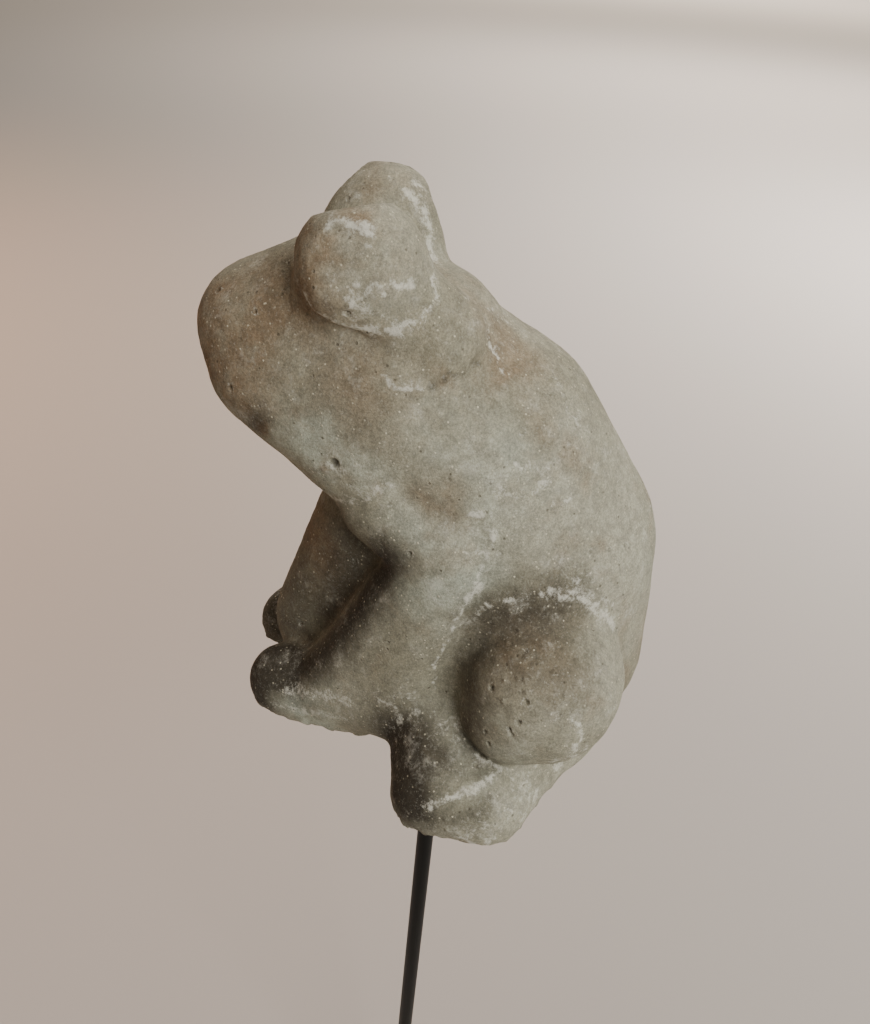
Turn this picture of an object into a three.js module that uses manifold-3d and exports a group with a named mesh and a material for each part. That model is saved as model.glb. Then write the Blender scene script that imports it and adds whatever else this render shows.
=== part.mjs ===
// A garden stake: a frog cast in sand cement that sits loosely on a round steel rod.
// The frog was cast upside down in an open mould, so its underside is flat and a short tube was set into
// it while it was wet. The tube slips over the rod, the frog's weight rests on the rod's top end through
// the stopper that closes the tube, and the rod's pointed end is pushed into the ground.
// Millimetres, +Z up along the rod, the frog looks along -Y and its left side is +X.
// The origin is the tip of the rod's point.
import * as THREE from "three";
import { ConvexGeometry } from "three/addons/geometries/ConvexGeometry.js";
import { mergeVertices } from "three/addons/utils/BufferGeometryUtils.js";
import Module from "manifold-3d";

const wasm = await Module();
wasm.setup();

// Driving dimensions
const ROD_DIAMETER = 5;
const ROD_LENGTH = 350;
const ROD_POINT_LENGTH = 22;
const ROD_TIP_RADIUS = 0.6;
const ROD_EDGE_CHAMFER = 0.5;
const TUBE_OUTER_DIAMETER = 8;
const TUBE_WALL = 1;
const TUBE_LENGTH = 50;
const STOPPER_SKIRT = 5;
const STOPPER_HEAD = 2;
const FIT_GAP = 0.3; // between pieces that touch or are cast into each other
const FROG_HEIGHT = 125;

// Places on the rod's axis, worked out from the sizes above
const ROD_TOP_Z = ROD_LENGTH;
const STOPPER_LOW_Z = ROD_TOP_Z + FIT_GAP;
const TUBE_TOP_Z = STOPPER_LOW_Z + STOPPER_SKIRT;
const UNDERSIDE_Z = TUBE_TOP_Z - TUBE_LENGTH;
const HOLE_TOP_Z = TUBE_TOP_Z + STOPPER_HEAD + 2 * FIT_GAP;

const ROD_RADIUS = ROD_DIAMETER / 2;
const TUBE_OUTER_RADIUS = TUBE_OUTER_DIAMETER / 2;
const TUBE_BORE_RADIUS = TUBE_OUTER_RADIUS - TUBE_WALL;

const ROUND_STEPS = 40;
const BEAD_STEPS_ROUND = 18;
const BEAD_STEPS_HIGH = 11;

const cement = new THREE.MeshStandardMaterial({ color: 0x8f8b7c, roughness: 0.95, metalness: 0 });
const blackSteel = new THREE.MeshStandardMaterial({ color: 0x17181a, roughness: 0.45, metalness: 0.3 });
const greyPlastic = new THREE.MeshStandardMaterial({ color: 0x8a8c8e, roughness: 0.6, metalness: 0 });
const blackPlastic = new THREE.MeshStandardMaterial({ color: 0x2b2b2b, roughness: 0.7, metalness: 0 });

// The frog's body as rounded masses that run into each other. Each mass is the convex hull of its
// beads, and a bead is an ellipsoid: its centre and its half sizes along X, Y and Z, above the
// underside, in millimetres of a frog 125 mm tall.
const MODELLED_HEIGHT = 125;
const MIDDLE_MASSES = {
  hips: [
    { at: [0, 13, 21], half: [32, 35, 27] },
    { at: [0, 13.5, 49], half: [31, 31.5, 28] },
  ],
  back: [
    { at: [0, 13.5, 49], half: [31, 31.5, 28] },
    { at: [0, 1.5, 73.5], half: [28, 27.5, 24] },
  ],
  neck: [
    { at: [0, 1.5, 73.5], half: [28, 27.5, 24] },
    { at: [0, -13, 85], half: [28, 25, 20] },
  ],
  head: [
    { at: [0, -17, 92], half: [26, 24, 18] },
    { at: [0, -16, 74], half: [27.5, 21, 16] },
    { at: [0, -28, 101], half: [18, 14, 13.5] },
    { at: [0, -41, 93.5], half: [17, 16.5, 14] },
    { at: [0, -37.5, 86], half: [20, 18, 14] },
  ],
  breast: [
    { at: [0, -17, 16], half: [13, 27, 22] },
    { at: [0, -13, 36], half: [15, 24, 18] },
    { at: [0, -8, 57], half: [18, 22, 22] },
  ],
  seat: [
    { at: [0, -8, 5], half: [21, 22, 13] },
    { at: [0, 20, 8], half: [35, 24, 16] },
  ],
  left_brow: [
    { at: [13.5, -20, 109], half: [9.5, 10, 10] },
    { at: [11, -9, 99], half: [12, 11, 10] },
  ],
  right_toes: [
    { at: [-11, -41.5, 4], half: [8.5, 9.5, 9.5] },
    { at: [-15, -34, 5.5], half: [9, 11, 11.5] },
  ],
};
// These stand on the left side and are mirrored to the right.
const SIDE_MASSES = {
  eye: [
    { at: [13.5, -22, 112], half: [12.5, 12.5, 12.5] },
    { at: [8, -16, 102], half: [8, 9, 8] },
  ],
  foreleg: [
    { at: [22, 0, 58], half: [10.5, 9, 13] },
    { at: [17.5, -26, 10.5], half: [8.5, 9, 10] },
    { at: [22, -10, 14], half: [10, 9, 12] },
  ],
  shoulder: [
    { at: [17, -14, 66], half: [10.5, 11, 12] },
    { at: [20, -4, 60], half: [11, 10, 12] },
  ],
  forefoot: [
    { at: [14, -36.5, 6], half: [8.5, 11, 10.5] },
    { at: [16.5, -18, 7], half: [9, 10, 12] },
  ],
  thigh: [
    { at: [27.5, 22, 31.5], half: [19.5, 17.5, 17] },
    { at: [31.5, 16.5, 25], half: [13.5, 12, 11] },
  ],
  shank: [
    { at: [20, 0, 12], half: [12, 12, 16] },
    { at: [40, 2, 6], half: [9.5, 10, 12] },
  ],
  hindfoot: [
    { at: [40, 0.5, 5], half: [9.5, 9, 11] },
    { at: [40.5, 12, 5], half: [10.5, 11, 11] },
  ],
  heel: [
    { at: [40, 12, 5], half: [10.5, 10.5, 11] },
    { at: [16, 25, 8], half: [14, 12, 16] },
  ],
};

// A closed three.js geometry as a solid that can be cut and joined.
function solidFrom(geometry) {
  const bare = geometry.clone();
  bare.deleteAttribute("normal");
  bare.deleteAttribute("uv");
  const merged = mergeVertices(bare, 1e-3);
  const vertProperties = new Float32Array(merged.attributes.position.array);
  const triVerts = new Uint32Array(merged.index.array);
  return new wasm.Manifold(new wasm.Mesh({ numProp: 3, vertProperties, triVerts }));
}

// A solid as a three.js geometry.
function geometryFrom(solid) {
  const made = solid.getMesh();
  const geometry = new THREE.BufferGeometry();
  geometry.setAttribute("position", new THREE.BufferAttribute(made.vertProperties, 3));
  geometry.setIndex(new THREE.BufferAttribute(made.triVerts, 1));
  geometry.computeVertexNormals();
  return geometry;
}

function piece(name, geometry, material) {
  const mesh = new THREE.Mesh(geometry, material);
  mesh.name = name;
  return mesh;
}

// A shape turned about the Z axis, from [radius, height] corners. The lathe turns about Y, so it is
// stood up afterwards.
function turned(corners) {
  const outline = corners.map(([radius, height]) => new THREE.Vector2(radius, height));
  return new THREE.LatheGeometry(outline, ROUND_STEPS).rotateX(Math.PI / 2);
}

function beadPoints({ at, half }) {
  const bead = new THREE.SphereGeometry(1, BEAD_STEPS_ROUND, BEAD_STEPS_HIGH).scale(...half).translate(...at);
  const places = bead.getAttribute("position");
  return Array.from({ length: places.count }, (_, i) => new THREE.Vector3().fromBufferAttribute(places, i));
}

function massSolid(beads) {
  return solidFrom(new ConvexGeometry(beads.flatMap(beadPoints)));
}

function mirrored(beads) {
  return beads.map(({ at: [x, y, z], half }) => ({ at: [-x, y, z], half }));
}

// The casting: all masses joined, levelled flat at the underside, raised to its place on the rod and
// holed for the tube and its stopper.
function frogCasting() {
  const sides = Object.values(SIDE_MASSES).flatMap((beads) => [beads, mirrored(beads)]);
  const masses = [...Object.values(MIDDLE_MASSES), ...sides].map(massSolid);
  const lump = masses.reduce((whole, mass) => whole.add(mass));

  const belowSize = 2 * MODELLED_HEIGHT;
  const below = new THREE.BoxGeometry(belowSize, belowSize, belowSize).translate(0, 0, -belowSize / 2);
  const levelled = geometryFrom(lump.subtract(solidFrom(below)));
  const growth = FROG_HEIGHT / MODELLED_HEIGHT;
  levelled.scale(growth, growth, growth).translate(0, 0, UNDERSIDE_Z);

  const holeRadius = TUBE_OUTER_RADIUS + FIT_GAP;
  const hole = turned([
    [0, UNDERSIDE_Z - holeRadius],
    [holeRadius, UNDERSIDE_Z - holeRadius],
    [holeRadius, HOLE_TOP_Z],
    [0, HOLE_TOP_Z],
  ]);
  return geometryFrom(solidFrom(levelled).subtract(solidFrom(hole)));
}

// The tube that lines the hole, flush with the underside.
function socketTube() {
  return turned([
    [TUBE_BORE_RADIUS, UNDERSIDE_Z],
    [TUBE_OUTER_RADIUS, UNDERSIDE_Z],
    [TUBE_OUTER_RADIUS, TUBE_TOP_Z],
    [TUBE_BORE_RADIUS, TUBE_TOP_Z],
    [TUBE_BORE_RADIUS, UNDERSIDE_Z],
  ]);
}

// The plug that kept the cement out of the tube: a skirt inside the bore and a head over its end.
function tubeStopper() {
  const skirtRadius = TUBE_BORE_RADIUS - FIT_GAP;
  const headLowZ = TUBE_TOP_Z + FIT_GAP;
  const headTopZ = headLowZ + STOPPER_HEAD;
  return turned([
    [0, STOPPER_LOW_Z],
    [skirtRadius, STOPPER_LOW_Z],
    [skirtRadius, headLowZ],
    [TUBE_OUTER_RADIUS, headLowZ],
    [TUBE_OUTER_RADIUS, headTopZ],
    [0, headTopZ],
  ]);
}

// The rod: a long point with a blunted tip, and a chamfered top edge.
function steelRod() {
  return turned([
    [0, 0],
    [ROD_TIP_RADIUS, 0],
    [ROD_RADIUS, ROD_POINT_LENGTH],
    [ROD_RADIUS, ROD_TOP_Z - ROD_EDGE_CHAMFER],
    [ROD_RADIUS - ROD_EDGE_CHAMFER, ROD_TOP_Z],
    [0, ROD_TOP_Z],
  ]);
}

const stake = new THREE.Group();
stake.add(
  piece("steel_rod", steelRod(), blackSteel),
  piece("socket_tube", socketTube(), greyPlastic),
  piece("tube_stopper", tubeStopper(), blackPlastic),
  piece("frog_casting", frogCasting(), cement),
);

export default stake;
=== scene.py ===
"""Garden stake: a frog cast in sand cement, loose on the end of a black steel rod.

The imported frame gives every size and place. Lengths in the tables are millimetres, and the frog's own
tables count from the middle of its underside: +X is its left side, -Y is its front, +Z is up.
"""

import math
import random

import bmesh
import bpy
import numpy as np
from bpy.props import FloatProperty, FloatVectorProperty, IntProperty, PointerProperty, StringProperty
from bpy.types import Operator, Panel, PropertyGroup
from mathutils import Matrix, Vector, kdtree, noise


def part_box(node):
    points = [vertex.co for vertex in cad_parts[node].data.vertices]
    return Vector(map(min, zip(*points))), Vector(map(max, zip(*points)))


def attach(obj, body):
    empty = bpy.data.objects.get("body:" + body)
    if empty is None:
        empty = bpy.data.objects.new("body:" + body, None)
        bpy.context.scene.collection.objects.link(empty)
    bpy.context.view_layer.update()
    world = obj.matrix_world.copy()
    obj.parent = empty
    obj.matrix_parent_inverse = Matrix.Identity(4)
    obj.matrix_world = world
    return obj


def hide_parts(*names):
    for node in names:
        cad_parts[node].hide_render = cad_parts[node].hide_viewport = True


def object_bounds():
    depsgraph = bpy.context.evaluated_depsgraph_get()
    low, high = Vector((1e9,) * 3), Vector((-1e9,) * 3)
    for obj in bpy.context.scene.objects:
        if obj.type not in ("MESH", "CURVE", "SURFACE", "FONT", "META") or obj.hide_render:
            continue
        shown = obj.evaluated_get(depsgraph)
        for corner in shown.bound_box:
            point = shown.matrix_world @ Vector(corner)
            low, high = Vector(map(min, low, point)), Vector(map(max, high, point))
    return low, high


bl_info = {
    "name": "Cement frog garden stake",
    "version": (1, 0, 0),
    "blender": (4, 5, 0),
    "location": "3D View > Sidebar > Frog Stake",
    "description": "Builds a cast cement frog on a steel rod, with its tube, stopper and studio",
    "category": "Add Mesh",
}

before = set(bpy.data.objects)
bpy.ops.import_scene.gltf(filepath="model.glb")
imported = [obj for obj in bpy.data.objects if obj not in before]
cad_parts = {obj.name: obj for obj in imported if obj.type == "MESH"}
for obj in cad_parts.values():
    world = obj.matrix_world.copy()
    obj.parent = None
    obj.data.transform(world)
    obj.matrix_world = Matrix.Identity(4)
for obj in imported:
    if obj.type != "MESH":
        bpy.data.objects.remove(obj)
CAD_LOW, CAD_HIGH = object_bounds()
CASTING_LOW, CASTING_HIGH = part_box("frog_casting")
ROD_LOW, ROD_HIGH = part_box("steel_rod")
TUBE_LOW, TUBE_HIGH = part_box("socket_tube")
STOPPER_LOW, STOPPER_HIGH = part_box("tube_stopper")

MM = 0.001
UNDERSIDE = CASTING_LOW.z

# Sizes of the small pieces that their boxes don't give, in millimetres.
ROD_POINT = 22
ROD_TIP_RADIUS = 0.6
ROD_CHAMFER = 0.5
TUBE_WALL = 1
STOPPER_GAP = 0.3
CAST_IN_GAP = 0.05

# The camera, in millimetres from the middle of the underside: close beside the frog's left, above its
# head, turned to look down on it with a slight tilt.
CAMERA_PLACE = (164.8, 2.5, 165.2)
CAMERA_FORWARD = (-0.8227, -0.0410, -0.5671)
CAMERA_UP = (-0.5598, -0.1154, 0.8205)

# The frog's masses. Each is the hull of its beads, and a bead is an ellipsoid: its centre, then its half
# sizes. The beads reach below the underside, where the casting was struck off level.
# The finished skin is this high, because smoothing takes a little off the beads.
MODELLED_HEIGHT = 124.5
MIDDLE_MASSES = {
    "hips": [((0, 13, 21), (32, 35, 27)), ((0, 13.5, 49), (31, 31.5, 28))],
    "back": [((0, 13.5, 49), (31, 31.5, 28)), ((0, 1.5, 73.5), (28, 27.5, 24))],
    "neck": [((0, 1.5, 73.5), (28, 27.5, 24)), ((0, -13, 85), (28, 25, 20))],
    "head": [
        ((0, -17, 92), (26, 24, 18)),
        ((0, -16, 74), (27.5, 21, 16)),
        ((0, -28, 101), (18, 14, 13.5)),
        ((0, -41, 93.5), (17, 16.5, 14)),
        ((0, -37.5, 86), (20, 18, 14)),
    ],
    "breast": [((0, -17, 16), (13, 27, 22)), ((0, -13, 36), (15, 24, 18)), ((0, -8, 57), (18, 22, 22))],
    "seat": [((0, -8, 5), (21, 22, 13)), ((0, 20, 8), (35, 24, 16))],
    "left_brow": [((13.5, -20, 109), (9.5, 10, 10)), ((11, -9, 99), (12, 11, 10))],
    "right_toes": [((-11, -41.5, 4), (8.5, 9.5, 9.5)), ((-15, -34, 5.5), (9, 11, 11.5))],
}
# These stand on the left side and are mirrored to the right.
SIDE_MASSES = {
    "eye": [((13.5, -22, 112), (12.5, 12.5, 12.5)), ((8, -16, 102), (8, 9, 8))],
    "foreleg": [
        ((22, 0, 58), (10.5, 9, 13)),
        ((17.5, -26, 10.5), (8.5, 9, 10)),
        ((22, -10, 14), (10, 9, 12)),
    ],
    "shoulder": [((17, -14, 66), (10.5, 11, 12)), ((20, -4, 60), (11, 10, 12))],
    "forefoot": [((14, -36.5, 6), (8.5, 11, 10.5)), ((16.5, -18, 7), (9, 10, 12))],
    "thigh": [((27.5, 22, 31.5), (19.5, 17.5, 17)), ((31.5, 16.5, 25), (13.5, 12, 11))],
    "shank": [((20, 0, 12), (12, 12, 16)), ((40, 2, 6), (9.5, 10, 12))],
    "hindfoot": [((40, 0.5, 5), (9.5, 9, 11)), ((40.5, 12, 5), (10.5, 11, 11))],
    "heel": [((40, 12, 5), (10.5, 10.5, 11)), ((16, 25, 8), (14, 12, 16))],
}

# Marks that the casting has. Points on lines and the middles of patches are moved onto the skin, so whole
# millimetres do.
# Planed places: centre, reach, outward normal, and how far out the plane lies along it.
PLANED = [
    ((-13.5, -22, 112), 16, (-0.33, -0.78, 0.54), 9.3),
    ((-13.5, -22, 112), 16, (-0.5, -0.1, 0.86), 10.7),
    ((-13.5, -22, 112), 16, (-0.27, 0.9, 0.33), 10.6),
    ((13.5, -22, 112), 16, (-0.3, -0.25, 0.92), 9.9),
    ((13.5, -22, 112), 16, (0.93, -0.12, 0.35), 10.2),
    ((13.5, -22, 112), 16, (0.3, -0.95, 0.1), 11.6),
]
PLANED_SHARE = 0.85
# Raised lines: width, height, and the points along them.
RIDGES = [
    (1.0, 0.45, [(28, 2, 72), (28, 6, 72), (29, 7, 68), (29, 7, 63), (31, 4, 55), (31, 1, 44), (31, -1, 36)]),
    (1.6, 0.6, [(49, 0, 10), (48, 4, 12), (46, 9, 14), (42, 15, 15)]),
    (1.2, 0.35, [(22, -29, 107), (23, -25, 105), (23, -19, 104), (23, -14, 105), (21, -10, 107)]),
    (0.9, 0.4, [(-7, -22, 122), (-4, -18, 121), (-5, -14, 118)]),
    (0.8, 0.3, [(34, 21, 48), (36, 18, 47), (35, 14, 46), (36, 13, 44), (38, 15, 43), (39, 18, 43)]),
]
# Sunken lines, in the same form.
GROOVES = [
    (0.7, 0.45, [(24, -7, 95), (22, -4, 96), (19, -1, 97), (16, 1, 98)]),
    (0.9, 0.5, [(38, 9, 17), (41, 15, 16), (42, 19, 14), (42, 22, 11)]),
    (1.6, 0.25, [(31, 8, 46), (32, 8, 38), (35, 8, 32), (37, 9, 27), (38, 9, 20)]),
    (
        1.4,
        0.6,
        [(19, -34, 114), (20, -33, 110), (21, -31, 107), (23, -28, 104), (23, -24, 103), (23, -18, 102)],
    ),
    (1.3, 0.5, [(22, -24, 121), (22, -22, 121.5), (21, -19, 121)]),
    (1.6, 0.6, [(26, -29, 99), (25, -32, 96)]),
]
# Pinholes that air left: centre, radius and depth.
PINHOLES = [
    ((23, -24, 77.5), 1.15, 0.75),
    ((15, -42, 102), 0.5, 0.5),
    ((22, -28, 106), 0.65, 0.6),
    ((25, -22.5, 108), 0.6, 0.8),
    ((24, -18, 108), 0.4, 0.4),
    ((8, -51, 103), 0.6, 0.5),
    ((-7.5, -20, 122.5), 0.5, 0.6),
    ((9, 0, 102), 0.8, 0.9),
    ((11, 2, 101), 0.7, 0.9),
    ((29, 9, 64), 0.5, 0.6),
    ((30.5, -9, 61.5), 0.55, 0.6),
    ((25, -13, 71), 0.45, 0.4),
    ((36, 5, 21.5), 0.5, 0.5),
    ((41, 12, 28), 0.45, 0.5),
    ((44, 16, 32), 0.55, 0.7),
    ((41.5, 10, 16), 0.6, 0.6),
    ((21, 31, 62), 0.55, 0.5),
    ((18, 35, 61), 0.6, 0.5),
    ((24, 27, 63), 0.45, 0.4),
    ((43, 18, 39), 0.65, 0.8),
    ((38, 13, 37), 0.65, 0.8),
    ((45, 15, 33), 0.5, 0.8),
    ((37, 16, 47), 0.45, 0.6),
    ((44, 24, 38), 0.5, 0.6),
]
# Pimples that holes in the mould left, in patches: centre, reach, how many, smallest and largest radius.
PIMPLE_PATCHES = [
    ((39, 19, 42), 10, 17, 0.45, 0.8),
    ((47, 11, 13), 11, 18, 0.4, 0.8),
    ((24, 8, 80), 9, 7, 0.3, 0.5),
    ((-38, 20, 43), 11, 14, 0.45, 0.8),
    ((-46, 10, 13), 11, 14, 0.4, 0.8),
]
SMALL_PINHOLE_TRIES = 150
# Places that crumble, as the struck-off lower edge does: centre, reach, strength.
CRUMBLY_PLACES = [((-8, -15, 119), 7, 0.8), ((43, 26, 18), 9, 0.5)]
CRUMBLY_EDGE_HEIGHT = 4.5
CRUMBLY_EDGE_STRENGTH = 0.9
# White lime bloom along lines: half width, strength, and the points.
BLOOM_LINES = [
    (0.54, 1, [(28, 2, 72), (28, 6, 72), (29, 7, 68), (29, 7, 63), (31, 5, 57)]),
    (0.95, 0.86, [(30, 5, 57), (31, 3, 51)]),
    (0.4, 1, [(31, 4, 55), (31, 1, 44), (31, -1, 37), (31, -1, 33), (30, -1, 26)]),
    (0.4, 0.61, [(31, -5, 58), (32, -4, 54), (32, -3, 52), (31, 1, 51)]),
    (0.4, 1, [(13, 1, 101), (12, 3, 99), (11, 4, 98)]),
    (0.4, 0.92, [(12, 3, 99), (14, 4, 97), (15, 6, 95)]),
    (0.4, 0.71, [(11, -4, 108), (5, 0, 105), (1, 4, 101), (-1, 8, 98), (2, 12, 96)]),
    (0.68, 0.82, [(25, -15, 96), (25, -13, 95), (24, -10, 95)]),
    (0.4, 0.5, [(24, -7, 95), (22, -4, 96), (19, -1, 97), (16, 1, 98)]),
    (0.48, 0.61, [(8, 14, 94), (10, 17, 91), (13, 19, 88)]),
    (0.48, 0.71, [(25, 10, 81), (23, 14, 81), (22, 16, 80)]),
    (0.4, 0.82, [(27, 7, 78), (27, 10, 76)]),
    (0.41, 0.82, [(25, 14, 77), (23, 17, 78)]),
    (0.41, 0.71, [(25, 18, 73), (23, 20, 74), (21, 22, 74)]),
    (0.88, 0.71, [(20, -27, 66), (25, -22, 69), (27, -19, 71), (27, -14, 75)]),
    (0.54, 0.82, [(30, 6, 49), (30, 10, 53), (30, 14, 54), (30, 19, 56)]),
    (0.88, 0.86, [(30, 19, 56), (28, 26, 54), (26, 31, 50), (23, 35, 44)]),
    (0.68, 0.61, [(30, 24, 57), (28, 30, 54), (24, 36, 49)]),
    (0.82, 0.71, [(44, 27, 37), (44, 29, 33), (44, 28, 30), (40, 30, 20), (33, 29, 8)]),
    (0.88, 0.82, [(49, 0, 10), (48, 4, 12), (46, 9, 14), (42, 15, 15)]),
    (0.61, 0.82, [(39, 10, 16), (41, 15, 16), (42, 19, 14)]),
    (1.5, 0.56, [(22, -36, 11), (26, -27, 15), (29, -20, 17)]),
    (1.02, 0.5, [(22, -39, 5), (25, -30, 7), (28, -21, 10)]),
    (
        0.95,
        0.92,
        [(21, -31, 109), (22, -29, 106), (23, -25, 105), (23, -19, 104), (23, -14, 105), (21, -10, 107)],
    ),
    (0.75, 0.71, [(21, -10, 107), (18, -8, 109), (15, -9, 112)]),
    (0.75, 1, [(26, -20, 112), (25, -17, 113), (23, -14, 113), (20, -12, 112)]),
    (0.54, 0.92, [(26, -22, 114), (26, -22, 110), (25, -22, 107)]),
    (0.95, 1, [(20, -27, 121), (20, -25, 122), (21, -22, 122), (21, -19, 121)]),
    (0.41, 0.82, [(24, -20, 119), (23, -18, 119)]),
    (1.5, 0.82, [(-7, -17, 120), (-7, -13, 117), (-5, -12, 112), (-2, -11, 109)]),
]
# Bloom in patches: centre, reach, strength.
BLOOM_PATCHES = [
    ((25, -21, 108), 8, 0.5),
    ((-8, -15, 119), 5, 0.9),
    ((13, 22, 84), 9, 0.35),
    ((28, 5, 66), 7, 0.45),
    ((32, -8, 20), 8, 0.7),
    ((35, 2, 23), 6, 0.6),
    ((44, 26, 24), 8, 0.6),
    ((43, 22, 9), 9, 0.7),
    ((50, 13, 3), 9, 0.8),
    ((23, 26, 55), 9, 0.4),
    ((26, 8, 78), 9, 0.3),
    ((25, -23, 75), 10, 0.4),
    ((-30, 10, 62), 10, 0.35),
    ((-44, 20, 20), 10, 0.5),
    ((0, 40, 62), 12, 0.35),
    ((-24, -20, 106), 7, 0.5),
]
# Brown staining: centre, reach, strength. On the chest and at the jaw's lower edge it is partly painted shade,
# where shade falls under the head.
STAINS_AND_SHADE = [
    ((24, -20, 95), 20, 0.7),
    ((10, 5, 102), 16, 0.4),
    ((20, -18, 116), 10, 0.35),
    ((-10, -18, 118), 10, 0.3),
    ((12, -50, 96), 17, 1.7),
    ((14, -42, 104), 14, 1.3),
    ((17, -43, 87), 11, 0.5),
    ((18, -41, 82), 3, 1.6),
    ((15, -45, 85), 4, 0.7),
    ((20, -31, 108), 13, 0.55),
    ((20, -32, 113), 8, 1.7),
    ((23, -28, 117), 6, 1.2),
    ((14, -34, 114), 7, 1.2),
    ((18, -24, 123), 6, 1.0),
    ((36, 16, 46), 17, 0.9),
    ((15.5, 6, 96), 6.5, 0.85),
    ((27.5, -4, 73.5), 8, 0.8),
    ((19, 13, 88), 7, 0.55),
    ((23, -24, 77.5), 1.6, 1.6),
    ((22, -5, 95.5), 4, 0.7),
    ((40, -5, 14), 10, 0.4),
    ((-6, -24, 121), 8, 0.7),
    ((0, -36, 50), 16, 0.9),
    ((12, -30, 42), 14, 0.7),
    ((-12, -48, 92), 16, 0.7),
    ((-36, 16, 44), 14, 0.8),
    ((6, 8, 100), 14, 0.45),
    ((-20, -10, 100), 14, 0.4),
    ((-24, 18, 70), 16, 0.45),
    ((8, 44, 30), 14, 0.45),
]
# Painted shade along lines: a dark colour where shade falls, in the hollows, under the head and on the faces
# turned from the light. Half width, strength, and the points.
PAINTED_SHADE_LINES = [
    (6, 1.0, [(27, -13, 59), (24, -17, 46), (24, -22, 35), (23, -28, 24), (19, -35, 16)]),
    (8, 1.4, [(18, -37, 15), (16, -43, 13), (19, -46, 7)]),
    (9, 0.75, [(20, -21, 56), (14, -23, 42), (13, -27, 29)]),
    (10, 0.6, [(7, -36, 33), (7, -38, 24), (10, -45, 10)]),
    (14, 0.9, [(-5, -46, 9), (-16, -42, 8), (-14, -30, 34)]),
    (8, 1.3, [(35, -8, 13), (39, -6, 15), (43, -5, 14), (47, -4, 9)]),
    (6, 0.85, [(37, -3, 19), (42, 1, 17)]),
    (3, 0.55, [(49, 3, 8), (49, 9, 9), (47, 13, 11)]),
    (6.5, 0.7, [(31, 8, 46), (33, 9, 37), (37, 10, 29), (38, 9, 20)]),
    (8, 0.8, [(31, 10, 48), (31, 15, 51), (30, 22, 53)]),
    (10, 0.4, [(36, 16, 46), (38, 24, 46)]),
    (3, 0.7, [(17, -42, 80), (19, -40, 82)]),
    (9, 0.7, [(-38, -5, 15), (-40, 0, 17), (-33, 9, 38)]),
]
# A greener grey, where the cement is damp and dense: centre, reach, strength.
GREEN_PLACES = [
    ((23, -26, 80), 14, 0.9),
    ((26, -8, 90), 12, 0.55),
    ((31, -2, 58), 16, 0.9),
    ((25, -20, 114), 9, 0.6),
    ((22, -30, 8), 12, 0.9),
    ((27, 6, 80), 14, 0.5),
    ((44, 10, 24), 12, 0.6),
    ((-24, -24, 82), 15, 0.7),
    ((-30, 0, 58), 16, 0.7),
    ((0, 42, 50), 20, 0.4),
]


# ---------------------------------------------------------------- small tools


def linear(hex_colour):
    """An sRGB hex colour as the linear RGBA that shader sockets take."""
    channels = [int(hex_colour.lstrip("#")[i : i + 2], 16) / 255 for i in (0, 2, 4)]
    return tuple(c / 12.92 if c <= 0.04045 else ((c + 0.055) / 1.055) ** 2.4 for c in channels) + (1.0,)


def per_metre(size_mm):
    """The texture scale that gives features of this size."""
    return 1 / (size_mm * MM)


def add_node(tree, kind, settings=None, **links):
    """Adds a node. Settings are its properties. Each link is an input's name with _ for a space, or in0, in1
    and so on for its number, set to an output socket or a plain value."""
    node = tree.nodes.new(kind)
    for name, value in (settings or {}).items():
        setattr(node, name, value)
    for name, value in links.items():
        key = int(name[2:]) if name.startswith("in") and name[2:].isdigit() else name.replace("_", " ")
        if isinstance(value, bpy.types.NodeSocket):
            tree.links.new(value, node.inputs[key])
        else:
            node.inputs[key].default_value = value
    return node


def new_material(name):
    material = bpy.data.materials.new(name)
    material.use_nodes = True
    material.node_tree.nodes.clear()
    return material


def new_object(name, mesh):
    made = bpy.data.objects.new(name, mesh)
    bpy.context.scene.collection.objects.link(made)
    return made


def mesh_from(bm, name):
    bmesh.ops.recalc_face_normals(bm, faces=bm.faces[:])
    mesh = bpy.data.meshes.new(name)
    bm.to_mesh(mesh)
    bm.free()
    return mesh


def shade_smooth(mesh):
    mesh.polygons.foreach_set("use_smooth", [True] * len(mesh.polygons))


def turned_piece(name, corners, steps, bevel_mm):
    """A piece turned about the Z axis from its (radius, height) outline in metres, with its edges eased."""
    bm = bmesh.new()
    outline = [bm.verts.new((radius, 0, height)) for radius, height in corners]
    edges = [bm.edges.new(pair) for pair in zip(outline, outline[1:])]
    if corners[0][0] > 0 and corners[-1][0] > 0:
        edges.append(bm.edges.new((outline[-1], outline[0])))
    bmesh.ops.spin(
        bm,
        geom=outline + edges,
        cent=(0, 0, 0),
        axis=(0, 0, 1),
        angle=math.tau,
        steps=steps,
        use_merge=True,
        use_duplicate=False,
    )
    bmesh.ops.remove_doubles(bm, verts=bm.verts[:], dist=MM / 100)
    mesh = mesh_from(bm, name)
    shade_smooth(mesh)
    made = new_object(name, mesh)
    eased = made.modifiers.new("eased edges", "BEVEL")
    eased.width = bevel_mm * MM
    eased.segments = 3
    eased.limit_method = "ANGLE"
    eased.angle_limit = math.radians(25)
    return made


def apply_modifiers(made):
    """Puts what the modifiers make into the mesh itself."""
    graph = bpy.context.evaluated_depsgraph_get()
    finished = bpy.data.meshes.new_from_object(made.evaluated_get(graph))
    made.modifiers.clear()
    made.data = finished


def coordinates(mesh):
    places = np.empty(len(mesh.vertices) * 3, np.float32)
    mesh.vertices.foreach_get("co", places)
    return places.reshape(-1, 3).astype(float)


def put_coordinates(mesh, places):
    mesh.vertices.foreach_set("co", places.astype(np.float32).ravel())
    mesh.update()


def normals_of(mesh):
    normals = np.empty(len(mesh.vertices) * 3, np.float32)
    mesh.vertices.foreach_get("normal", normals)
    return normals.reshape(-1, 3).astype(float)


def put_layer(mesh, name, values):
    layer = mesh.attributes.new(name, "FLOAT", "POINT")
    layer.data.foreach_set("value", np.clip(values, 0, 1).astype(np.float32))


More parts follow.
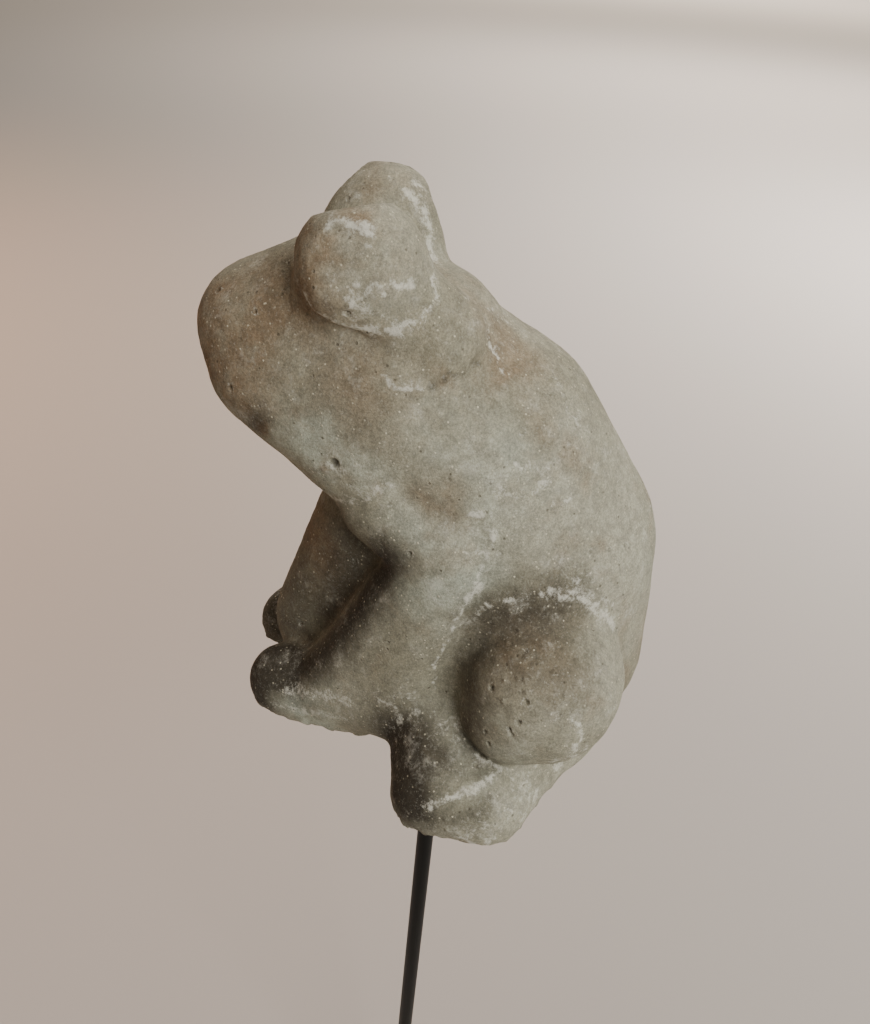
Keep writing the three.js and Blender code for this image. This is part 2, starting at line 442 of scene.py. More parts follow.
def noise_at(places, size_mm, octaves, shift=0.0):
    """Fractal noise from about -1 to 1 whose largest features have this size."""
    scaled = places / size_mm + shift
    return np.array([noise.fractal(Vector(p), 1.0, 2.0, octaves) for p in scaled])


def bell(distance, reach):
    """1 at no distance, falling smoothly to nearly 0 at the reach."""
    return np.exp(-2.5 * (distance / reach) ** 2)


def tree_of(places):
    """A search tree for the nearest of these places."""
    tree = kdtree.KDTree(len(places))
    for index, place in enumerate(places):
        tree.insert(place, index)
    tree.balance()
    return tree


def on_skin(points, tree):
    """A line's points, set 1 mm apart and moved onto the skin."""
    found = []
    for start, end in zip(points, points[1:]):
        start, end = Vector(start), Vector(end)
        count = max(1, round((end - start).length))
        found += [tree.find(start.lerp(end, step / count))[0] for step in range(count)]
    return [*found, tree.find(points[-1])[0]]


def distance_to_line(places, points):
    """How far each place is from a line drawn through the points."""
    nearest = np.full(len(places), np.inf)
    for start, end in zip(np.array(points, float), np.array(points, float)[1:]):
        along = end - start
        share = np.clip((places - start) @ along / max(along @ along, 1e-9), 0, 1)
        nearest = np.minimum(nearest, np.linalg.norm(places - start - share[:, None] * along, axis=1))
    return nearest


# ---------------------------------------------------------------- the frog's shape


def mass_mesh(name, beads):
    """One rounded mass: the hull of its beads."""
    bm = bmesh.new()
    for centre, half in beads:
        stretched = Matrix.Translation(centre) @ Matrix.Diagonal((*half, 1))
        bmesh.ops.create_icosphere(bm, subdivisions=4, radius=1.0, matrix=stretched)
    bmesh.ops.delete(bm, geom=bm.edges[:] + bm.faces[:], context="EDGES_FACES")
    bmesh.ops.convex_hull(bm, input=bm.verts[:])
    loose = [vert for vert in bm.verts if not vert.link_faces]
    bmesh.ops.delete(bm, geom=loose, context="VERTS")
    return mesh_from(bm, name)


def mirrored(beads):
    return [((-x, y, z), half) for (x, y, z), half in beads]


def modelled_lump(sizes):
    """The frog as one smooth skin in millimetres, still round underneath."""
    masses = [mass_mesh(name, beads) for name, beads in MIDDLE_MASSES.items()]
    for name, beads in SIDE_MASSES.items():
        masses += [mass_mesh(name, beads), mass_mesh(name, mirrored(beads))]
    bm = bmesh.new()
    for mass in masses:
        bm.from_mesh(mass)
        bpy.data.meshes.remove(mass)
    lump = new_object("frog", mesh_from(bm, "frog"))
    skin = lump.modifiers.new("skin", "REMESH")
    skin.mode = "VOXEL"
    skin.voxel_size = sizes.skin_step
    valleys = lump.modifiers.new("valleys", "SMOOTH")
    valleys.factor = 0.5
    # The smoothing's reach grows with the square root of the passes, and with the step.
    valleys.iterations = round(2 * (sizes.valley_reach / sizes.skin_step) ** 2)
    apply_modifiers(lump)
    return lump


def plane_off(places):
    """Flattens the places where the casting lost or never filled its full shape."""
    for centre, reach, normal, offset in PLANED:
        outward = np.array(normal) / np.linalg.norm(normal)
        from_centre = places - np.array(centre)
        beyond = from_centre @ outward - offset
        near = np.linalg.norm(from_centre, axis=1) < reach
        cut = near & (beyond > 0)
        places[cut] -= PLANED_SHARE * beyond[cut, None] * outward
    return places


def surface_unevenness(places, crumbly):
    """How far each point of the skin stands out, in millimetres: hand-made wobble, the mould's own texture,
    sand, crumbs, and then the ridges and grooves."""
    wobble = 0.42 * noise_at(places, 17, 2)
    mould = 0.13 * noise_at(places, 4.2, 3, 11.0)
    sand = 0.05 * noise_at(places, 1.3, 2, 23.0)
    crumbs = crumbly * (0.75 * noise_at(places, 3.0, 3, 37.0) + 0.25 * noise_at(places, 1.1, 1, 41.0))
    warped = places + 0.7 * np.stack([noise_at(places, 3, 1, 50.0 + axis) for axis in range(3)], axis=1)
    out = wobble + mould + sand + crumbs
    tree = tree_of(places)
    softness = 1.4  # a line's reach over its width
    for width, height, points in RIDGES:
        out += height * bell(distance_to_line(warped, on_skin(points, tree)), width * softness)
    for width, depth, points in GROOVES:
        out -= depth * bell(distance_to_line(warped, on_skin(points, tree)), width * softness)
    return out


def crumbly_share(places):
    """Near 1 along the struck-off lower edge and in the crumbly places, 0 elsewhere."""
    share = np.clip(1 - places[:, 2] / CRUMBLY_EDGE_HEIGHT, 0, 1) * CRUMBLY_EDGE_STRENGTH
    for centre, reach, strength in CRUMBLY_PLACES:
        share = share + strength * bell(np.linalg.norm(places - np.array(centre), axis=1), reach)
    return np.clip(share, 0, 1)


def scattered_marks(places):
    """Pinholes and pimples as (centre, radius, height), with depth as a negative height."""
    dice = random.Random(41)
    marks = [(centre, radius, -depth) for centre, radius, depth in PINHOLES]
    for centre, reach, count, smallest, largest in PIMPLE_PATCHES:
        near = np.flatnonzero(np.linalg.norm(places - np.array(centre), axis=1) < reach)
        for index in dice.sample(list(near), count):
            radius = dice.uniform(smallest, largest)
            marks.append((tuple(places[index]), radius, 0.85 * radius))
    # Small pinholes all over, more of them away from the smooth left side.
    for index in dice.sample(range(len(places)), SMALL_PINHOLE_TRIES):
        x, _, z = places[index]
        if z > 3 and (x < 12 or dice.random() < 0.3):
            radius = dice.uniform(0.3, 0.75)
            marks.append((tuple(places[index]), radius, -dice.uniform(0.8, 1.2) * radius))
    return marks


def press_marks(bm, marks):
    """Refines the skin round each mark and presses or raises it. Returns each mark with its place."""
    bm.verts.ensure_lookup_table()
    tree = tree_of([vert.co for vert in bm.verts])
    placed = []
    for centre, radius, height in marks:
        _, index, _ = tree.find(centre)
        placed.append((bm.verts[index].co.copy(), bm.verts[index].normal.copy(), radius, height))
    near = set()
    for spot, _, radius, _ in placed:
        near.update(index for _, index, _ in tree.find_range(spot, 1.7 * radius + 0.35))
    edges = {edge for index in near for edge in bm.verts[index].link_edges}
    bmesh.ops.subdivide_edges(bm, edges=list(edges), cuts=1, use_grid_fill=True, smooth=0.0)
    bmesh.ops.triangulate(bm, faces=[face for face in bm.faces if len(face.verts) > 4])

    # A pinhole is a smooth pit with a low lip round it, and a pimple is a rounded bump.
    bm.verts.ensure_lookup_table()
    fine = tree_of([vert.co for vert in bm.verts])
    for spot, normal, radius, height in placed:
        for co, index, distance in fine.find_range(spot, 1.6 * radius):
            share = distance / radius
            if height < 0:
                lip = 0.06 * radius * math.exp(-((share - 1.25) ** 2) / 0.05)
                lift = height * max(0.0, 1 - share**3) + lip
            else:
                lift = height * math.exp(-1.6 * share**2)
            bm.verts[index].co = co + normal * lift
    return placed


def mark_layers(mesh, placed):
    """Puts where bloom, stain (partly painted shade), green, painted shade in the hollows, painted shade in
    the pinholes and crumbs lie in the mesh's own layers. Lines follow a slightly warped skin and patches a
    strongly warped one, so that neither has a drawn edge."""
    places = coordinates(mesh)
    warped = places + 1.1 * np.stack([noise_at(places, 2.4, 2, 60.0 + axis) for axis in range(3)], axis=1)
    cloudy = places + 3.5 * np.stack([noise_at(places, 9, 3, 70.0 + axis) for axis in range(3)], axis=1)
    flaky = 0.75 + 0.6 * noise_at(places, 1.1, 2, 81.0)
    tree = tree_of(places)

    def along(points, width, softness=1.6):
        return bell(distance_to_line(warped, on_skin(points, tree)), softness * width)

    def near(centre, reach):
        return bell(np.linalg.norm(cloudy - np.array(tree.find(centre)[0]), axis=1), reach)

    bloom = np.zeros(len(places))
    for width, strength, points in BLOOM_LINES:
        bloom = np.maximum(bloom, strength * along(points, width) * flaky)
    patchy = np.clip(0.25 + 1.5 * noise_at(places, 2.2, 3, 90.0), 0, 1)
    for centre, reach, strength in BLOOM_PATCHES:
        bloom = np.maximum(bloom, strength * near(centre, reach) * patchy)

    # Mostly real brown staining; on the chest and at the jaw's edge partly painted shade.
    stain_and_shade = np.zeros(len(places))
    for centre, reach, strength in STAINS_AND_SHADE:
        stain_and_shade += strength * near(centre, reach)
    green = np.zeros(len(places))
    for centre, reach, strength in GREEN_PLACES:
        green = np.maximum(green, strength * near(centre, 1.2 * reach))
    # Painted shade in the hollows and under the head.
    damp = np.zeros(len(places))
    for width, strength, points in PAINTED_SHADE_LINES:
        damp = np.maximum(damp, strength * along(points, width))

    # Painted shade inside each pinhole and along the first groove. The rim is a ring round each pinhole and
    # the top of each pimple.
    pit_shade = np.zeros(len(places))
    rim = np.zeros(len(places))
    for spot, _, radius, height in placed:
        for _, index, distance in tree.find_range(spot, 2.0 * radius + 0.8):
            share = distance / radius
            if height < 0:
                pit_shade[index] = max(pit_shade[index], 1 - min(1, share) ** 3)
                rim[index] = max(rim[index], math.exp(-((share - 1.35) ** 2) / 0.08))
            else:
                rim[index] = max(rim[index], 0.75 * math.exp(-2 * share**2))
    scratch_width, _, scratch = GROOVES[0]
    pit_shade = np.maximum(pit_shade, 0.7 * along(scratch, scratch_width, 1.4))
    layers = {"stain_and_shade": stain_and_shade, "green": green, "damp": damp, "pit_shade": pit_shade, "crumbs": crumbly_share(places)}
    put_layer(mesh, "bloom", np.maximum(bloom, 0.3 * rim))
    for name, values in layers.items():
        put_layer(mesh, name, values)


def bore_socket(made, radius, top):
    """Cuts the hole that the tube was cast into, with a cutter that also reaches twice as far below."""
    bm = bmesh.new()
    depth = top - UNDERSIDE
    middle = Matrix.Translation((0, 0, UNDERSIDE + depth / 2 - depth))
    bmesh.ops.create_cone(
        bm, cap_ends=True, segments=64, radius1=radius, radius2=radius, depth=3 * depth, matrix=middle
    )
    cutter = new_object("socket cutter", mesh_from(bm, "socket cutter"))
    cut = made.modifiers.new("socket", "BOOLEAN")
    cut.operation = "DIFFERENCE"
    cut.solver = "EXACT"
    cut.object = cutter
    apply_modifiers(made)
    bpy.data.objects.remove(cutter)


# ---------------------------------------------------------------- materials


def sand_cement(look):
    """Sand cement cast in a rubber mould: mid grey binder with fair and dark sand grains in it, brown where
    dirt has soaked in, white where lime has bloomed, and matt all over."""
    material = new_material("cast sand cement")
    tree = material.node_tree
    place = add_node(tree, "ShaderNodeTexCoord").outputs["Object"]

    def cloud(size_mm, detail, roughness=0.55, distortion=0.0):
        node = add_node(
            tree,
            "ShaderNodeTexNoise",
            Vector=place,
            Scale=per_metre(size_mm),
            Detail=detail,
            Roughness=roughness,
            Distortion=distortion,
        )
        return node.outputs["Fac"]

    def layer(name):
        return add_node(tree, "ShaderNodeAttribute", {"attribute_name": name}).outputs["Fac"]

    def mapped(value, low, high, to_low=0.0, to_high=1.0):
        node = add_node(tree, "ShaderNodeMapRange", {"interpolation_type": "SMOOTHSTEP"}, Value=value)
        node.inputs["From Min"].default_value = low
        node.inputs["From Max"].default_value = high
        node.inputs["To Min"].default_value = to_low
        node.inputs["To Max"].default_value = to_high
        return node.outputs["Result"]

    def sums(operation, first, second):
        return add_node(tree, "ShaderNodeMath", {"operation": operation}, in0=first, in1=second).outputs[0]

    def blended(amount, below, above, blend="MIX"):
        node = add_node(tree, "ShaderNodeMix", {"data_type": "RGBA", "blend_type": blend})
        for socket, value in ((node.inputs[0], amount), (node.inputs[6], below), (node.inputs[7], above)):
            if isinstance(value, bpy.types.NodeSocket):
                tree.links.new(value, socket)
            else:
                socket.default_value = value
        return node.outputs[2]

    # The binder: grey, greener where dense, with soft clouds 30 mm and 9 mm across.
    tone = mapped(cloud(30, 4), 0.35, 0.65, 0.3, 1.0)
    colour = blended(tone, linear(look.binder_dark), linear(look.binder))
    green = sums("MULTIPLY", layer("green"), mapped(cloud(9, 4), 0.3, 0.65))
    colour = blended(green, colour, linear(look.green_grey))

    # Brown dirt in broad clouds, thicker where the layer says; on the chest and at the jaw's edge that brown
    # is partly painted shade.
    dirt = sums("MULTIPLY", layer("stain_and_shade"), mapped(cloud(7, 5, 0.65), 0.3, 0.6, 0.5, 1.0))
    clouds = mapped(cloud(13, 5, 0.6), 0.52, 0.74, 0.0, 0.5)
    colour = blended(sums("MAXIMUM", dirt, clouds), colour, linear(look.brown))

    # Painted shade: where shade falls the colour turns dark, over the brown.
    colour = blended(layer("damp"), colour, linear(look.damp))

    # Fine grain about 0.5 mm across, and mottling 2.5 mm across, lighten and darken it.
    grain = mapped(cloud(0.45, 3, 0.85), 0.3, 0.7, 0.72, 1.27)
    mottle = mapped(cloud(2.5, 5, 0.75), 0.3, 0.7, 0.78, 1.2)
    shade = sums("MULTIPLY", grain, mottle)
    grey = add_node(tree, "ShaderNodeCombineColor", Red=shade, Green=shade, Blue=shade).outputs[0]
    colour = blended(1.0, colour, grey, "MULTIPLY")

    # Sand grains: fair ones about 0.4 mm across, in some of the cells 1.1 mm wide, and dark ones about
    # 0.5 mm across, in some of the cells 1.9 mm wide.
    fair_cells = add_node(tree, "ShaderNodeTexVoronoi", Vector=place, Scale=per_metre(1.1))
    fair_pick = add_node(tree, "ShaderNodeSeparateColor", Color=fair_cells.outputs["Color"]).outputs[0]
    fair = sums("MULTIPLY", mapped(fair_cells.outputs["Distance"], 0.26, 0.1), mapped(fair_pick, 0.6, 1.0))
    colour = blended(sums("MULTIPLY", fair, 0.9), colour, linear(look.fair_sand))
    dark_cells = add_node(tree, "ShaderNodeTexVoronoi", Vector=place, Scale=per_metre(1.9))
    dark_pick = add_node(tree, "ShaderNodeSeparateColor", Color=dark_cells.outputs["Color"]).outputs[1]
    dark = sums("MULTIPLY", mapped(dark_cells.outputs["Distance"], 0.2, 0.08), mapped(dark_pick, 0.7, 0.8))
    colour = blended(sums("MULTIPLY", dark, 0.6), colour, linear(look.dark_sand))

    # Lime bloom: a thin haze in clouds, and a ragged crust where the layer says.
    haze_clouds = mapped(cloud(6, 6, 0.7, 0.3), 0.52, 0.72, 0.0, 0.4)
    haze = sums("MULTIPLY", haze_clouds, mapped(cloud(0.7, 3, 0.8), 0.35, 0.6))
    crust = sums("ADD", layer("bloom"), mapped(cloud(0.8, 4, 0.85), 0.3, 0.7, -0.3, 0.3))
    bloom = sums("MAXIMUM", haze, mapped(crust, 0.06, 0.75, 0.0, 0.8))
    colour = blended(bloom, colour, linear(look.lime))
    # Painted shade inside the pinholes and along the first groove.
    colour = blended(layer("pit_shade"), colour, linear(look.pit_shade))

    # Relief: sand grain and fine pits stand 0.1 to 0.2 mm out, bloom is a thin crust, crumbs are coarse.
    relief = sums("ADD", cloud(0.55, 4, 0.75), sums("MULTIPLY", fair, 0.5))
    relief = sums("SUBTRACT", relief, sums("MULTIPLY", dark, 0.9))
    relief = sums("ADD", relief, sums("MULTIPLY", bloom, 0.35))
    coarse = sums("MULTIPLY", layer("crumbs"), cloud(1.4, 4, 0.7))
    relief = sums("ADD", relief, sums("MULTIPLY", coarse, 3.0))
    bump = add_node(tree, "ShaderNodeBump", Height=relief, Strength=0.75, Distance=look.grain_relief * MM)

    shader = add_node(
        tree,
        "ShaderNodeBsdfPrincipled",
        Base_Color=colour,
        Roughness=mapped(cloud(5, 3), 0.3, 0.7, 0.78, 0.95),
        Normal=bump.outputs["Normal"],
    )
    shader.inputs["IOR"].default_value = 1.5
    shader.inputs["Specular IOR Level"].default_value = 0.32
    add_node(tree, "ShaderNodeOutputMaterial", Surface=shader.outputs[0])
    return material


def black_paint(look):
    """Cold-drawn steel with one thin coat of black paint: nearly black, satin, with drawing lines along the
    rod, and rubbed to dull grey steel on its point."""
    material = new_material("black painted steel")
    tree = material.node_tree
    place = add_node(tree, "ShaderNodeTexCoord").outputs["Object"]
    # Drawing lines: 0.25 mm wide and about 40 mm long.
    line_scale = (per_metre(0.25), per_metre(0.25), per_metre(40))
    stretched = add_node(tree, "ShaderNodeMapping", Vector=place, Scale=line_scale)
    drawn = add_node(tree, "ShaderNodeTexNoise", Vector=stretched.outputs[0], Scale=1.0, Detail=3.0)
    lines = drawn.outputs["Fac"]
    dust = add_node(tree, "ShaderNodeTexNoise", Vector=place, Scale=per_metre(1.2), Detail=5.0, Roughness=0.8)
    speck = add_node(tree, "ShaderNodeMapRange", Value=dust.outputs["Fac"])
    speck.inputs["From Min"].default_value = 0.6
    speck.inputs["From Max"].default_value = 0.72
    paint = add_node(tree, "ShaderNodeMix", {"data_type": "RGBA"})
    tree.links.new(speck.outputs[0], paint.inputs[0])
    paint.inputs[6].default_value = linear(look.paint)
    paint.inputs[7].default_value = linear(look.paint_dust)

    # The point is pushed into soil, so paint is worn off over its length, raggedly.
    height = add_node(tree, "ShaderNodeSeparateXYZ", Vector=place).outputs[2]
    ragged = add_node(tree, "ShaderNodeTexNoise", Vector=place, Scale=per_metre(3), Detail=4.0).outputs["Fac"]
    wear = look.wear_length * MM
    ends = {"in0": ragged, "in1": -wear, "in2": 1.15 * wear}
    reach = add_node(tree, "ShaderNodeMath", {"operation": "MULTIPLY_ADD"}, **ends)
    worn = add_node(tree, "ShaderNodeMath", {"operation": "LESS_THAN"}, in0=height, in1=reach.outputs[0])
    worn_colour = add_node(tree, "ShaderNodeMix", {"data_type": "RGBA"})
    tree.links.new(worn.outputs[0], worn_colour.inputs[0])
    tree.links.new(paint.outputs[2], worn_colour.inputs[6])
    worn_colour.inputs[7].default_value = linear(look.bare_steel)

    rough = add_node(tree, "ShaderNodeMapRange", Value=lines)
    rough.inputs["To Min"].default_value = 0.34
    rough.inputs["To Max"].default_value = 0.55
    bump = add_node(tree, "ShaderNodeBump", Height=lines, Strength=0.25, Distance=0.03 * MM)
    shader = add_node(
        tree,
        "ShaderNodeBsdfPrincipled",
        Base_Color=worn_colour.outputs[2],
        Metallic=worn.outputs[0],
        Roughness=rough.outputs[0],
        Normal=bump.outputs["Normal"],
    )
    shader.inputs["Specular IOR Level"].default_value = 0.15
    add_node(tree, "ShaderNodeOutputMaterial", Surface=shader.outputs[0])
    return material


def moulded_plastic(name, hex_colour, roughness):
    """Plain plastic as it left the extruder or mould: even colour with faint flow clouds and a soft sheen."""
    material = new_material(name)
    tree = material.node_tree
    place = add_node(tree, "ShaderNodeTexCoord").outputs["Object"]
    flow = add_node(tree, "ShaderNodeTexNoise", Vector=place, Scale=per_metre(2.5), Detail=3.0)
    shade = add_node(tree, "ShaderNodeMapRange", Value=flow.outputs["Fac"])
    shade.inputs["To Min"].default_value = 0.82
    shade.inputs["To Max"].default_value = 1.1
    colour = add_node(tree, "ShaderNodeMix", {"data_type": "RGBA", "blend_type": "MULTIPLY"})
    colour.inputs[0].default_value = 1.0
    colour.inputs[6].default_value = linear(hex_colour)
    tree.links.new(shade.outputs[0], colour.inputs[7])
    bump = add_node(tree, "ShaderNodeBump", Height=flow.outputs["Fac"], Strength=0.2, Distance=0.05 * MM)
    shader = add_node(
        tree,
        "ShaderNodeBsdfPrincipled",
        Base_Color=colour.outputs[2],
        Normal=bump.outputs["Normal"],
    )
    shader.inputs["Roughness"].default_value = roughness
    shader.inputs["IOR"].default_value = 1.49
    add_node(tree, "ShaderNodeOutputMaterial", Surface=shader.outputs[0])
    return material


def plain_paper(name, hex_colour):
    """The studio's seamless paper: matt and even."""
    material = new_material(name)
    tree = material.node_tree
    shader = add_node(tree, "ShaderNodeBsdfPrincipled", Base_Color=linear(hex_colour))
    shader.inputs["Roughness"].default_value = 0.95
    shader.inputs["Specular IOR Level"].default_value = 0.1
    add_node(tree, "ShaderNodeOutputMaterial", Surface=shader.outputs[0])
    return material


# ---------------------------------------------------------------- sizes and colours a user would change


class FrogSizes(PropertyGroup):
    skin_step: FloatProperty(
        name="Skin step",
        description="Spacing of the skin's points, in millimetres",
        default=0.85,
        min=0.5,
        max=3.0,
    )
    valley_reach: FloatProperty(
        name="Valley softness",
        description="How far valleys are rounded, in millimetres",
        default=3.4,
        min=0.5,
        max=8.0,
    )


class CementLook(PropertyGroup):
    binder: StringProperty(
        name="Binder", description="Fair grey of the cement, as sRGB hex", default="#9b9885"
    )
    binder_dark: StringProperty(
        name="Binder, dark", description="Darker grey clouds, as sRGB hex", default="#7b7763"
    )
    green_grey: StringProperty(
        name="Green grey", description="Dense damp cement, as sRGB hex", default="#abb09f"
    )
    # Painted shade: the dark colour where shade falls in the hollows and under the head.
    damp: StringProperty(name="Shaded", description="Damp dark cement, as sRGB hex", default="#39342a")
    # Brown of soaked-in dirt; on the chest and at the jaw's edge the stain layer also uses it as painted
    # shade.
    brown: StringProperty(name="Brown", description="Soaked-in dirt, as sRGB hex", default="#7c6b54")
    fair_sand: StringProperty(name="Fair sand", description="Light grains, as sRGB hex", default="#cfc7ae")
    dark_sand: StringProperty(name="Dark sand", description="Dark grains, as sRGB hex", default="#4a4335")
    lime: StringProperty(name="Lime bloom", description="White crust, as sRGB hex", default="#d6d3c4")
    # Painted shade inside the pinholes.
    pit_shade: StringProperty(name="Pore", description="Inside of a pinhole, as sRGB hex", default="#2a241a")
    grain_relief: FloatProperty(
        name="Grain relief",
        description="Height of the sand grain, in millimetres",
        default=0.22,
        min=0.0,
        max=1.0,
    )


class RodLook(PropertyGroup):
    paint: StringProperty(name="Paint", description="Black paint, as sRGB hex", default="#0b0c0b")
    paint_dust: StringProperty(
        name="Dust", description="Cement dust on the paint, as sRGB hex", default="#1c1c18"
    )
    bare_steel: StringProperty(name="Bare steel", description="Worn point, as sRGB hex", default="#7d7a74")
    wear_length: FloatProperty(
        name="Worn length",
        description="How far up the paint is worn off, in millimetres",
        default=18,
        min=0,
        max=100,
    )
    tube: StringProperty(
        name="Tube", description="Plastic of the socket tube, as sRGB hex", default="#8a8c8e"
    )
    stopper: StringProperty(
        name="Stopper", description="Plastic of the stopper, as sRGB hex", default="#262626"
    )
    steps: IntProperty(
        name="Steps round", description="Sides of each turned piece", default=96, min=24, max=256
    )


class StudioLook(PropertyGroup):
    paper: StringProperty(name="Paper", description="Floor colour, as sRGB hex", default="#a7a19b")
    daylight: FloatVectorProperty(
        name="Daylight", description="Colour of the room's light", subtype="COLOR", default=(1.0, 0.78, 0.60)
    )
    room_strength: FloatProperty(
        name="Room light", description="Strength of the light from all round", default=0.075
    )
    window_power: FloatProperty(
        name="Window", description="Power of the main light", subtype="POWER", default=4.2
    )
    side_power: FloatProperty(
        name="Side lamp", description="Power of the fill light", subtype="POWER", default=16.5
    )
    overhead_power: FloatProperty(
        name="Overhead", description="Power of the top light", subtype="POWER", default=5.4
    )
    floor_power: FloatProperty(
        name="Floor lamps",
        description="Power that the floor's lamps are scaled from",
        subtype="POWER",
        default=30.0,
    )
    lens: FloatProperty(
        name="Lens", description="Focal length in millimetres", subtype="DISTANCE_CAMERA", default=30.62
    )


# ---------------------------------------------------------------- operators


class STAKE_OT_frog(Operator):
    """Models the frog, roughens its skin and gives it its cement"""

    bl_idname = "stake.frog"
    bl_label = "Cast the frog"

    def execute(self, context):
        sizes = context.scene.frog_sizes
        frog = modelled_lump(sizes)
        mesh = frog.data
        places = plane_off(coordinates(mesh))
        struck = places[:, 2] < 0
        places[struck, 2] = 0
        put_coordinates(mesh, places)
        crumbly = crumbly_share(places)
        out = surface_unevenness(places, crumbly)
        normals = normals_of(mesh)
        places += out[:, None] * normals
        # The struck-off underside keeps a quarter of the unevenness, all of it hollow.
        places[struck, 2] = np.minimum(0.35, np.abs(0.25 * out[struck]))
        put_coordinates(mesh, places)

        bm = bmesh.new()
        bm.from_mesh(mesh)
        placed = press_marks(bm, scattered_marks(places))
        mesh = mesh_from(bm, "frog")
        frog.data = mesh
        mark_layers(mesh, placed)
        shade_smooth(mesh)

        growth = (CASTING_HIGH.z - CASTING_LOW.z) / MM / MODELLED_HEIGHT
        mesh.transform(Matrix.Translation((0, 0, UNDERSIDE)) @ Matrix.Scale(MM * growth, 4))
        gap = CAST_IN_GAP * MM
        bore_socket(frog, TUBE_HIGH.x + gap, STOPPER_HIGH.z + gap)
        frog.name = "cast_frog"
        frog.data.name = "cast_frog"
        frog.data.materials.clear()
        frog.data.materials.append(sand_cement(context.scene.cement_look))
        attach(frog, "frog")
        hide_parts("frog_casting")
        return {"FINISHED"}


class STAKE_OT_rod(Operator):
    """Turns the steel rod with its long point"""

    bl_idname = "stake.rod"
    bl_label = "Turn the rod"

    def execute(self, context):
        look = context.scene.rod_look
        radius = ROD_HIGH.x
        chamfer = ROD_CHAMFER * MM
        corners = [
            (0, ROD_LOW.z),
            (ROD_TIP_RADIUS * MM, ROD_LOW.z),
            (radius, ROD_LOW.z + ROD_POINT * MM),
            (radius, ROD_HIGH.z - chamfer),
            (radius - chamfer, ROD_HIGH.z),
            (0, ROD_HIGH.z),
        ]
        rod = turned_piece("painted_rod", corners, look.steps, 0.15)
        rod.data.materials.append(black_paint(look))
        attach(rod, "rod")
        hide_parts("steel_rod")
        return {"FINISHED"}


class STAKE_OT_socket(Operator):
    """Makes the plastic tube in the underside and the stopper that closes it"""

    bl_idname = "stake.socket"
    bl_label = "Make the socket"

    def execute(self, context):
        look = context.scene.rod_look
        outer = TUBE_HIGH.x
        bore = outer - TUBE_WALL * MM
        tube_corners = [(bore, TUBE_LOW.z), (outer, TUBE_LOW.z), (outer, TUBE_HIGH.z), (bore, TUBE_HIGH.z)]
        tube = turned_piece("plastic_tube", tube_corners, look.steps, 0.12)
        tube.data.materials.append(moulded_plastic("extruded grey plastic", look.tube, 0.5))
        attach(tube, "socket")
        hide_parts("socket_tube")

        skirt = bore - STOPPER_GAP * MM
        head_low = TUBE_HIGH.z + STOPPER_GAP * MM
        stopper_corners = [
            (0, STOPPER_LOW.z),
            (skirt, STOPPER_LOW.z),
            (skirt, head_low),
            (STOPPER_HIGH.x, head_low),
            (STOPPER_HIGH.x, STOPPER_HIGH.z),
            (0, STOPPER_HIGH.z),
        ]
        stopper = turned_piece("plastic_stopper", stopper_corners, look.steps, 0.2)
        stopper.data.materials.append(moulded_plastic("moulded black plastic", look.stopper, 0.6))
        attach(stopper, "socket")
        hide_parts("tube_stopper")
        return {"FINISHED"}


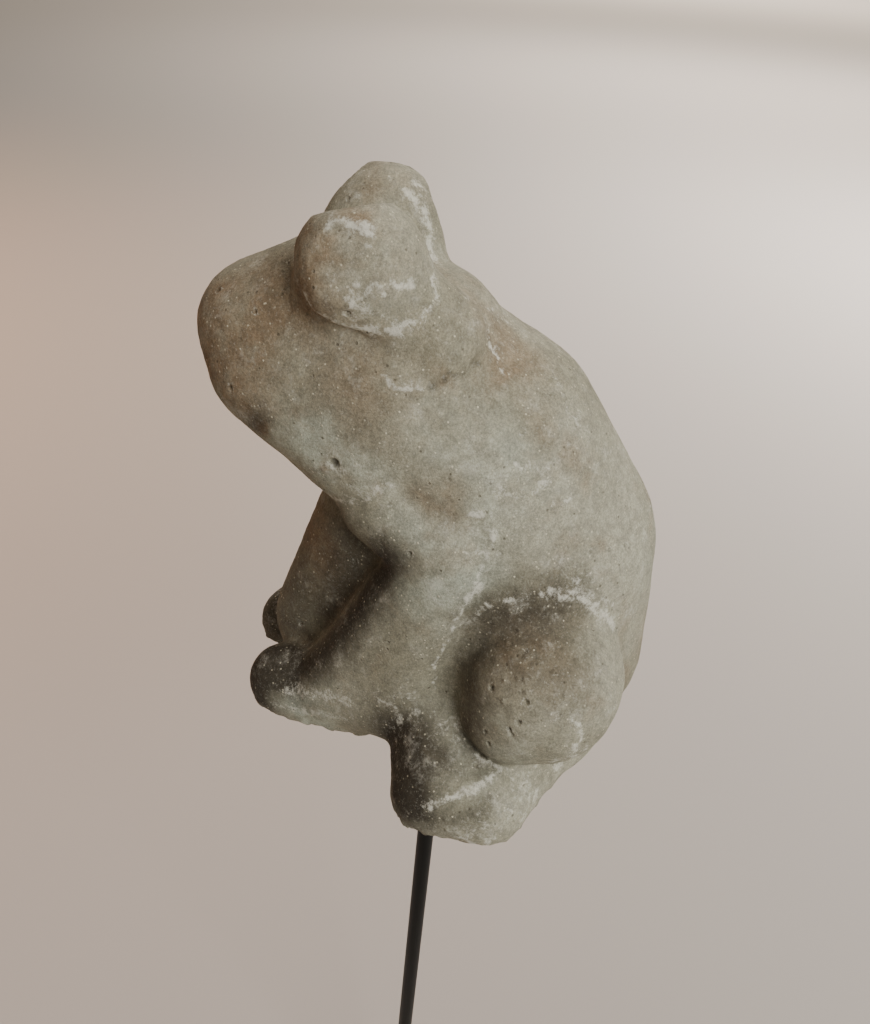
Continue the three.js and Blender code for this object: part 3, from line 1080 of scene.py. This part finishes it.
class STAKE_OT_studio(Operator):
    """Sets up the camera, the pale floor and the soft light"""

    bl_idname = "stake.studio"
    bl_label = "Set up the studio"

    def execute(self, context):
        look = context.scene.studio_look
        scene = context.scene
        target = Vector((0, 0, UNDERSIDE))

        camera_data = bpy.data.cameras.new("camera")
        camera_data.lens = look.lens
        camera_data.sensor_width = 36
        camera_data.clip_start = 0.01
        camera_data.clip_end = 100
        camera = bpy.data.objects.new("camera", camera_data)
        scene.collection.objects.link(camera)
        forward = Vector(CAMERA_FORWARD).normalized()
        right = forward.cross(Vector(CAMERA_UP)).normalized()
        up = right.cross(forward)
        turned = Matrix((right, up, -forward)).transposed().to_4x4()
        camera.matrix_world = Matrix.Translation(target + Vector(CAMERA_PLACE) * MM) @ turned
        scene.camera = camera

        bm = bmesh.new()
        bmesh.ops.create_grid(bm, x_segments=1, y_segments=1, size=40)
        bmesh.ops.translate(bm, verts=bm.verts[:], vec=(0, 0, CAD_LOW.z - 0.2 * MM))
        floor = new_object("floor", mesh_from(bm, "floor"))
        floor.data.materials.append(plain_paper("seamless paper", look.paper))

        world = bpy.data.worlds.new("room")
        world.use_nodes = True
        scene.world = world
        room = world.node_tree.nodes["Background"]
        room.inputs["Color"].default_value = (*look.daylight, 1.0)
        room.inputs["Strength"].default_value = look.room_strength

        # A window and a side lamp beside the frog and a softer lamp over it, aimed at the frog. The four
        # floor lamps shine straight down on the floor behind it and at its front.
        # Each lamp's place and aim are in metres from the middle of the frog's underside.
        middle = (0, 0, 0)
        power_unit = look.floor_power
        for name, place, aim, size, power, spread, colour in (
            ("window", (0.2, 1.15, 0.7), middle, 0.9, look.window_power, 180, (1, 1, 0.98)),
            ("side lamp", (0.88, 0.66, 0.67), middle, 0.6, look.side_power, 180, (1, 0.99, 0.97)),
            ("overhead", (0, -0.25, 1.25), middle, 0.8, look.overhead_power, 180, (1, 0.97, 0.93)),
            ("near floor lamp", (-1.3, 1.1, 1.2), (-1.3, 1.1, 0), 1, 1.2 * power_unit, 100, (1, 0.95, 0.91)),
            ("middle floor lamp", (-3.3, 1.1, 2.2), (-3.3, 1.1, 0), 2, 3.3 * power_unit, 114, (1, 0.93, 0.87)),
            ("far floor lamp", (-11, 2, 7), (-11, 2, 0), 6, 54 * power_unit, 140, (1, 0.91, 0.8)),
            (
                "warm floor lamp",
                (-0.5, -1.25, 1.1),
                (-0.5, -1.25, 0),
                0.8,
                0.45 * power_unit,
                100,
                (1, 0.56, 0.32),
            ),
        ):
            data = bpy.data.lights.new(name, "AREA")
            data.energy = power
            data.size = size
            data.color = colour
            data.spread = math.radians(spread)
            lamp = bpy.data.objects.new(name, data)
            scene.collection.objects.link(lamp)
            lamp.location = target + Vector(place)
            lamp.rotation_mode = "QUATERNION"
            lamp.rotation_quaternion = (Vector(aim) - Vector(place)).to_track_quat("-Z", "Y")
        return {"FINISHED"}


OPERATORS = (STAKE_OT_studio, STAKE_OT_frog, STAKE_OT_rod, STAKE_OT_socket)


class STAKE_PT_panel(Panel):
    """Lists the pieces, and the sizes and colours they use"""

    bl_idname = "STAKE_PT_panel"
    bl_label = "Frog Stake"
    bl_space_type = "VIEW_3D"
    bl_region_type = "UI"
    bl_category = "Frog Stake"

    def draw(self, context):
        for operator in OPERATORS:
            self.layout.operator(operator.bl_idname)
        for name in GROUPS:
            box = self.layout.box()
            group = getattr(context.scene, name)
            for key in group.bl_rna.properties.keys():
                if key not in ("rna_type", "name"):
                    box.prop(group, key)


GROUPS = {"frog_sizes": FrogSizes, "cement_look": CementLook, "rod_look": RodLook, "studio_look": StudioLook}
CLASSES = (*GROUPS.values(), *OPERATORS, STAKE_PT_panel)


def register():
    for made in CLASSES:
        bpy.utils.register_class(made)
    for name, group in GROUPS.items():
        setattr(bpy.types.Scene, name, PointerProperty(type=group))


def unregister():
    for name in GROUPS:
        delattr(bpy.types.Scene, name)
    for made in reversed(CLASSES):
        bpy.utils.unregister_class(made)


def main():
    register()
    bpy.ops.stake.studio()
    bpy.ops.stake.frog()
    bpy.ops.stake.rod()
    bpy.ops.stake.socket()


if __name__ == "__main__":
    main()
